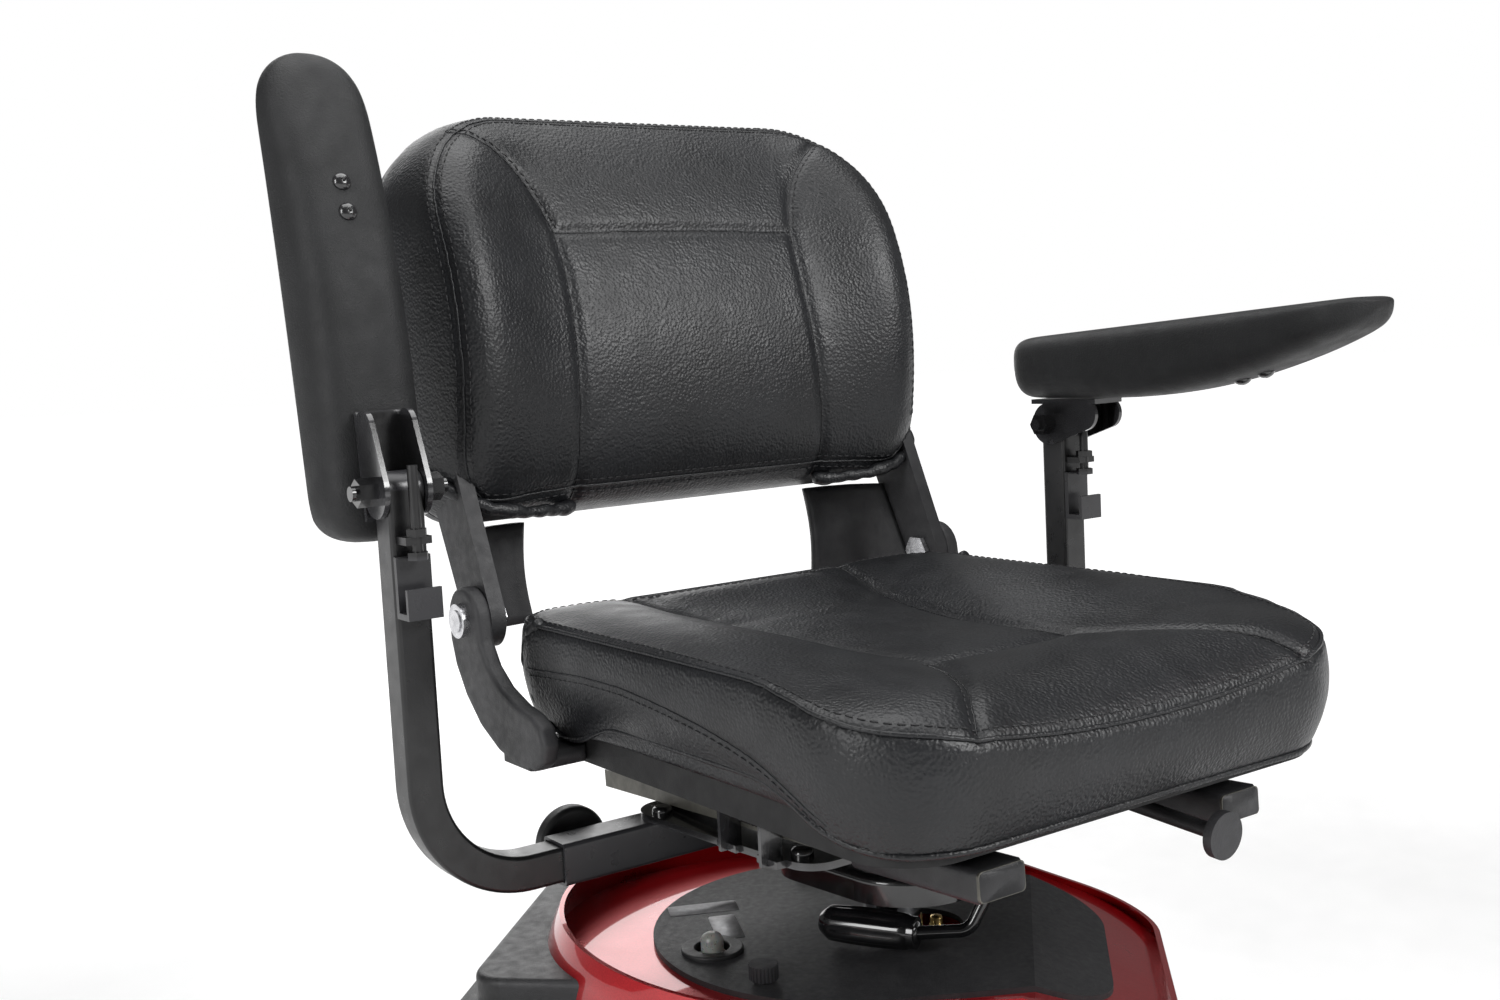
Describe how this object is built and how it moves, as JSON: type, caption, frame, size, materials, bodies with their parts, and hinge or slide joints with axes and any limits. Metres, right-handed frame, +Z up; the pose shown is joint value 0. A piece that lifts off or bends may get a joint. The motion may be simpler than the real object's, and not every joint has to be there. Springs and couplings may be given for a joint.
{
  "type": "mobility scooter",
  "caption": "Mobility scooter: swivelling padded seat with flip-up armrests on a sliding post, red rear body, footboard, front wheel and tilting steering tiller.",
  "frame": {"origin": "on the floor, under the seat post's axis", "axes": "+Z up, front of the scooter towards -Y, rider's left towards +X when riding; the seat stands swivelled 45 degrees to the rider's right"},
  "size_m": [0.6833, 1.3011, 1.0075],
  "materials": {
    "frame": "black powder coat",
    "battery": "matt dark grey",
    "drive": "cast, satin",
    "electronics": "matt black",
    "red_body": "glossy metallic red",
    "top_plate": "fine textured black",
    "black_plastic": "satin black, moulded",
    "gloss_black": "glossy black",
    "boot": "translucent silicone",
    "reflector": "red prismatic",
    "mat": "ribbed rubber",
    "tyre": "solid tyre, treaded",
    "rim": "silver paint",
    "gloss_steel": "glossy black enamel",
    "chrome": "polished",
    "rail": "grey oxide coating",
    "vinyl": "grained black vinyl",
    "pad_foam": "fine textured moulded foam",
    "grip": "soft ribbed rubber",
    "lens": "clear, fluted",
    "basket": "black coated wire mesh",
    "dial": "satin dark grey",
    "button": "red",
    "steel": "bright zinc"
  },
  "bodies": {
    "chassis": {"main_frame": "frame", "batteries": "battery", "transaxle": "drive", "drive_motor": "gloss_steel", "controller_box": "electronics", "rear_shroud": "red_body", "shroud_top_plate": "top_plate", "breaker_collar": "black_plastic", "rear_bumper": "black_plastic", "rear_reflectors": "reflector", "floor_pan": "black_plastic", "floor_mat": "mat"},
    "thumbscrew_left": {"thumbscrew_left": "black_plastic"},
    "thumbscrew_right": {"thumbscrew_right": "black_plastic"},
    "breaker_button": {"breaker_button": "boot"},
    "rear_wheel_left": {"rear_tyre_left": "tyre", "rear_rim_left": "rim"},
    "rear_wheel_right": {"rear_tyre_right": "tyre", "rear_rim_right": "rim"},
    "front_wheel": {"front_tyre": "tyre", "front_rim": "rim"},
    "steering": {"front_fork": "frame", "front_fender": "red_body", "tiller_yoke": "frame"},
    "tiller_lock_knob": {"tiller_lock_knob": "black_plastic"},
    "tiller": {"tiller_column": "frame", "tiller_cover": "black_plastic", "console": "red_body", "handlebar": "frame", "handle_grips": "grip", "headlight_lens": "lens"},
    "throttle_lever": {"throttle_lever": "black_plastic"},
    "speed_dial": {"speed_dial": "dial"},
    "ignition_key": {"ignition_key": "steel"},
    "horn_button": {"horn_button": "button"},
    "basket": {"basket": "basket"},
    "post": {"seat_post": "chrome"},
    "swivel": {"post_head": "gloss_steel", "swivel_plate": "gloss_steel", "armrest_receiver": "frame", "slide_rails_lower": "rail", "latch_spring": "gloss_steel"},
    "swivel_lever": {"swivel_lever": "gloss_black"},
    "seat": {"slide_rails_upper": "rail", "seat_pan": "black_plastic", "seat_cushion": "vinyl", "hinge_brackets": "black_plastic", "hinge_bolts": "steel"},
    "slide_lever": {"slide_lever": "black_plastic"},
    "backrest": {"backrest_arms": "black_plastic", "backrest_cushion": "vinyl", "backrest_shell": "black_plastic"},
    "arm_left": {"arm_stem_left": "frame"},
    "arm_right": {"arm_stem_right": "frame"},
    "armrest_left": {"arm_bracket_left": "gloss_steel", "arm_pad_left": "pad_foam"},
    "armrest_right": {"arm_bracket_right": "gloss_steel", "arm_pad_right": "pad_foam"},
    "receiver_knob_left": {"receiver_knob_left": "black_plastic"},
    "receiver_knob_right": {"receiver_knob_right": "black_plastic"}
  },
  "joints": [
    {"name": "thumbscrew_left_turn", "type": "hinge", "parent": "chassis", "child": "thumbscrew_left", "pos_m": [0.108, 0.078, 0.37], "axis": [0, 0, 1], "continuous": true},
    {"name": "thumbscrew_right_turn", "type": "hinge", "parent": "chassis", "child": "thumbscrew_right", "pos_m": [-0.108, 0.078, 0.37], "axis": [0, 0, 1], "continuous": true},
    {"name": "breaker_press", "type": "slide", "parent": "chassis", "child": "breaker_button", "axis": [0, 0, -1], "range_m": [0, 0.003], "stiffness_N_per_m": 1500, "springref_m": -0.0006},
    {"name": "rear_wheel_left_spin", "type": "hinge", "parent": "chassis", "child": "rear_wheel_left", "pos_m": [0.225, 0.09, 0.127], "axis": [1, 0, 0], "continuous": true},
    {"name": "rear_wheel_right_spin", "type": "hinge", "parent": "chassis", "child": "rear_wheel_right", "pos_m": [-0.225, 0.09, 0.127], "axis": [1, 0, 0], "continuous": true},
    {"name": "steering_turn", "type": "hinge", "parent": "chassis", "child": "steering", "pos_m": [0, -0.735, 0.3], "axis": [0, 0.2079, 0.9781], "range_deg": [-40, 40]},
    {"name": "front_wheel_spin", "type": "hinge", "parent": "steering", "child": "front_wheel", "pos_m": [0, -0.76, 0.115], "axis": [1, 0, 0], "continuous": true},
    {"name": "tiller_tilt", "type": "hinge", "parent": "steering", "child": "tiller", "pos_m": [0, -0.71525, 0.39292], "axis": [1, 0, 0], "range_deg": [0, 25]},
    {"name": "tiller_lock_turn", "type": "hinge", "parent": "steering", "child": "tiller_lock_knob", "pos_m": [0.045, -0.71525, 0.39292], "axis": [1, 0, 0], "continuous": true},
    {"name": "throttle", "type": "hinge", "parent": "tiller", "child": "throttle_lever", "pos_m": [0, -0.59101, 0.8235], "axis": [0, 0.2079, 0.9781], "range_deg": [-10, 10], "stiffness_Nm_per_rad": 0.6},
    {"name": "speed_dial_turn", "type": "hinge", "parent": "tiller", "child": "speed_dial", "pos_m": [0, -0.59756, 0.8985], "axis": [0, -0.2079, -0.9781], "range_deg": [0, 270]},
    {"name": "key_turn", "type": "hinge", "parent": "tiller", "child": "ignition_key", "pos_m": [0.058, -0.5956, 0.89809], "axis": [0, -0.2079, -0.9781], "range_deg": [0, 80]},
    {"name": "horn_press", "type": "slide", "parent": "tiller", "child": "horn_button", "axis": [0, -0.2079, -0.9781], "range_m": [0, 0.0025], "stiffness_N_per_m": 800, "springref_m": -0.0005},
    {"name": "basket_lift", "type": "slide", "parent": "tiller", "child": "basket", "axis": [0, 0.2079, 0.9781], "range_m": [0, 0.05]},
    {"name": "seat_height", "type": "slide", "parent": "chassis", "child": "post", "axis": [0, 0, 1], "range_m": [0, 0.075]},
    {"name": "seat_swivel", "type": "hinge", "parent": "post", "child": "swivel", "pos_m": [0, 0, 0.42], "axis": [0, 0, 1], "continuous": true},
    {"name": "swivel_lever_pull", "type": "hinge", "parent": "swivel", "child": "swivel_lever", "pos_m": [-0.04384, -0.05515, 0.43], "axis": [0, 0, 1], "range_deg": [0, 20], "stiffness_Nm_per_rad": 1.5, "springref_deg": -5.73},
    {"name": "seat_slide", "type": "slide", "parent": "swivel", "child": "seat", "axis": [-0.7061, -0.7061, 0.0523], "range_m": [0, 0.08]},
    {"name": "slide_lever_push", "type": "hinge", "parent": "seat", "child": "slide_lever", "pos_m": [-0.06364, -0.14849, 0.485], "axis": [0, 0, 1], "range_deg": [0, 12], "stiffness_Nm_per_rad": 1.5, "springref_deg": -5.73},
    {"name": "backrest_fold", "type": "hinge", "parent": "seat", "child": "backrest", "pos_m": [0.13435, 0.13435, 0.602], "axis": [0.7071, -0.7071, 0], "range_deg": [0, 80]},
    {"name": "arm_left_width", "type": "slide", "parent": "swivel", "child": "arm_left", "axis": [0.7071, -0.7071, 0], "range_m": [0, 0.05]},
    {"name": "arm_right_width", "type": "slide", "parent": "swivel", "child": "arm_right", "axis": [-0.7071, 0.7071, 0], "range_m": [0, 0.05]},
    {"name": "armrest_left_flip", "type": "hinge", "parent": "arm_left", "child": "armrest_left", "pos_m": [0.29698, -0.13859, 0.708], "axis": [0.7071, -0.7071, 0], "range_deg": [-95, 0]},
    {"name": "armrest_right_flip", "type": "hinge", "parent": "arm_right", "child": "armrest_right", "pos_m": [-0.13859, 0.29698, 0.708], "axis": [0.7071, -0.7071, 0], "range_deg": [0, 95]},
    {"name": "receiver_knob_left_turn", "type": "hinge", "parent": "swivel", "child": "receiver_knob_left", "pos_m": [0.22698, -0.02899, 0.437], "axis": [0.7071, 0.7071, 0], "continuous": true},
    {"name": "receiver_knob_right_turn", "type": "hinge", "parent": "swivel", "child": "receiver_knob_right", "pos_m": [-0.02899, 0.22698, 0.437], "axis": [0.7071, 0.7071, 0], "continuous": true}
  ]
}
